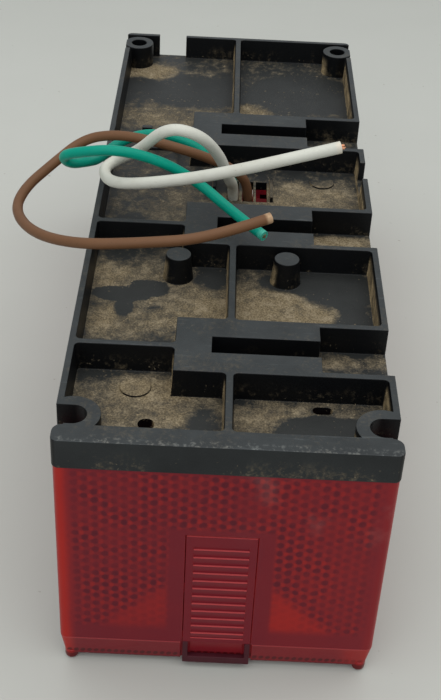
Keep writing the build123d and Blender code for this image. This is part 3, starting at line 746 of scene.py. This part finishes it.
finishes["brass"] = metal("brass_sheet", (0.72, 0.53, 0.26), (0.42, 0.29, 0.14), 0.22)
finishes["copper"] = metal("bare_copper", (0.75, 0.38, 0.22), (0.45, 0.2, 0.11), 0.2, 0.3)
finishes["plated_steel"] = metal("zinc_plated_steel", (0.62, 0.6, 0.52), (0.42, 0.42, 0.38), 0.25)
finishes["spring_steel"] = metal("spring_wire", (0.5, 0.5, 0.5), (0.33, 0.33, 0.34), 0.2)
finishes["solder"] = metal("solder", (0.6, 0.6, 0.6), (0.42, 0.43, 0.44), 0.3)
finishes["tungsten"] = metal("tungsten_wire", (0.34, 0.34, 0.35), (0.22, 0.22, 0.24), 0.3, 0.2)
finishes["fibre"] = moulded("pressed_fibre", (0.075, 0.06, 0.05), (0.04, 0.033, 0.03), 0.6)
finishes["foam"] = moulded("foam_gasket", (0.07, 0.07, 0.07), (0.03, 0.03, 0.032), 0.75, 0.5)
finishes["clear_glass"] = lamp_glass("lamp_glass")
print(len(finishes), "finishes")

# %% [markdown]
# ## Finishes on the nodes
# The frame says which slot each node takes its finish from, so one loop dresses them all. A node's mesh is
# left as it is, and only its material slots change.

# %% Dress the nodes
for name, node in nodes.items():
    node.data.materials.clear()
    node.data.materials.append(finishes[slot_of[name]].material)
for colour in wires:
    wires[colour].data.materials.append(finishes[f"{colour}_insulation"].material)
    strands[colour].data.materials.append(finishes["copper"].material)
print("nodes are dressed")

# %% [markdown]
# ## Moulded edges
# No moulding has a knife edge: the mould's own edges are a little round, and that thin round catches the
# light and draws the shape. The seen mouldings are copied from the frame and their loose triangles are
# merged. Their flat faces are joined again, except on the back, whose big floors have too many corners to
# stay sound as one face. Then bmesh's bevel rounds every edge that turns by more than a facet of a curve.
# Clamping is off, because one tiny edge would hold every bevel down to its own size. Afterwards each edge
# that still turns by more than a curve's facets is marked sharp, so that flat faces stay flat in the light.

# %% Round the edges of the mouldings
moulded_edge = {
    "base_housing": 0.2 * MM, "lamp_body": 0.2 * MM, "front_lens": 0.1 * MM,
    "near_latch_tongue": 0.1 * MM, "far_latch_tongue": 0.1 * MM,
    "near_latch_loop": 0.18 * MM, "far_latch_loop": 0.18 * MM,
}
merge_distance = 0.002 * MM
flat_below = math.radians(0.5)
rounded_above = math.radians(32)
sharp_above = math.radians(20)
bodies = frame["record"]["behaviour"]["bodies"]
body_of_node = {part: body for body, group in bodies.items() for part in group}


def round_edges(node_name, radius):
    """A copy of a frame node with its flat faces joined and its edges rounded."""
    form = bmesh.new()
    form.from_mesh(nodes[node_name].data)
    bmesh.ops.remove_doubles(form, verts=form.verts, dist=merge_distance)
    if node_name != "base_housing":
        bmesh.ops.dissolve_limit(form, angle_limit=flat_below, verts=form.verts, edges=form.edges)
    corners = [edge for edge in form.edges if edge.calc_face_angle(0) > rounded_above]
    bmesh.ops.bevel(
        form, geom=corners, offset=radius, segments=2, affect="EDGES", clamp_overlap=False, profile=0.5
    )
    for face in form.faces:
        face.smooth = True
    for edge in form.edges:
        edge.smooth = edge.calc_face_angle(0) < sharp_above
    data = bpy.data.meshes.new(f"{node_name}_moulding")
    form.to_mesh(data)
    form.free()
    piece = bpy.data.objects.new(f"{node_name}_moulding", data)
    bpy.context.scene.collection.objects.link(piece)
    data.materials.append(finishes[slot_of[node_name]].material)
    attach(piece, body_of_node[node_name])
    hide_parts(node_name)
    return piece


for node_name, radius in moulded_edge.items():
    piece = round_edges(node_name, radius)
    print(piece.name, len(piece.data.polygons), "faces")

# %% [markdown]
# ## The bench and the light
# A plain pale sheet and one big soft light overhead give even shade with a faint contact shadow. The sheet
# is painted a little darker towards the back, a painted shade as of a bench away from the light. A weaker
# light from behind the camera opens up the end face.

# %% Lay the floor
half_sheet = 2.5
sheet_data = bpy.data.meshes.new("bench_sheet")
form = bmesh.new()
bmesh.ops.create_grid(form, x_segments=1, y_segments=1, size=half_sheet)
form.to_mesh(sheet_data)
form.free()
bench = bpy.data.objects.new("bench_sheet", sheet_data)
bpy.context.scene.collection.objects.link(bench)
paper = Finish("pale_sheet", Specular_IOR_Level=0.15)
_, paper_along, _ = paper.parts(paper.place)
crumbs = paper.noise(2.4, 2, 0.4).rise(0.735, 0.77) * paper.noise(40, 2).rise(0.4, 0.6)
pale = paper.mix(paper.noise(60, 3), (0.48, 0.485, 0.45), (0.52, 0.525, 0.49))
# painted shade: the sheet is darker towards the back
pale = paper.mix(paper_along.rise(0.05, 0.55) * 0.6, pale, (0.30, 0.305, 0.28))
paper.set(**{"Base Color": paper.mix(crumbs * 0.5, pale, (0.2, 0.17, 0.13)), "Roughness": 0.55})
sheet_data.materials.append(paper.material)
print("bench sheet is laid")

# %% Hang the lights


def soft_light(name, place, aim, size, power, colour):
    """A rectangular light at a place, turned to shine on its aim."""
    data = bpy.data.lights.new(name, "AREA")
    data.shape = "RECTANGLE"
    data.size, data.size_y = size
    data.energy = power
    data.color = colour
    light = bpy.data.objects.new(name, data)
    light.location = place
    light.rotation_mode = "QUATERNION"
    light.rotation_quaternion = (Vector(aim) - Vector(place)).to_track_quat("-Z", "Y")
    bpy.context.scene.collection.objects.link(light)


soft_light("overhead", (0.15, -0.05, 1.6), (0, 0, 0), (2.2, 2.2), 20, (1.0, 0.99, 0.96))
soft_light("front_fill", (-0.5, -1.3, 0.9), (0, -0.05, 0.03), (1.2, 1.0), 5, (0.95, 0.98, 1.0))
world = bpy.data.worlds.new("room")
world.use_nodes = True
world.node_tree.nodes["Background"].inputs["Color"].default_value = (0.93, 0.97, 1.0, 1)
world.node_tree.nodes["Background"].inputs["Strength"].default_value = 0.6
bpy.context.scene.world = world
bpy.context.scene.view_settings.view_transform = "Standard"
print("lights are in place")
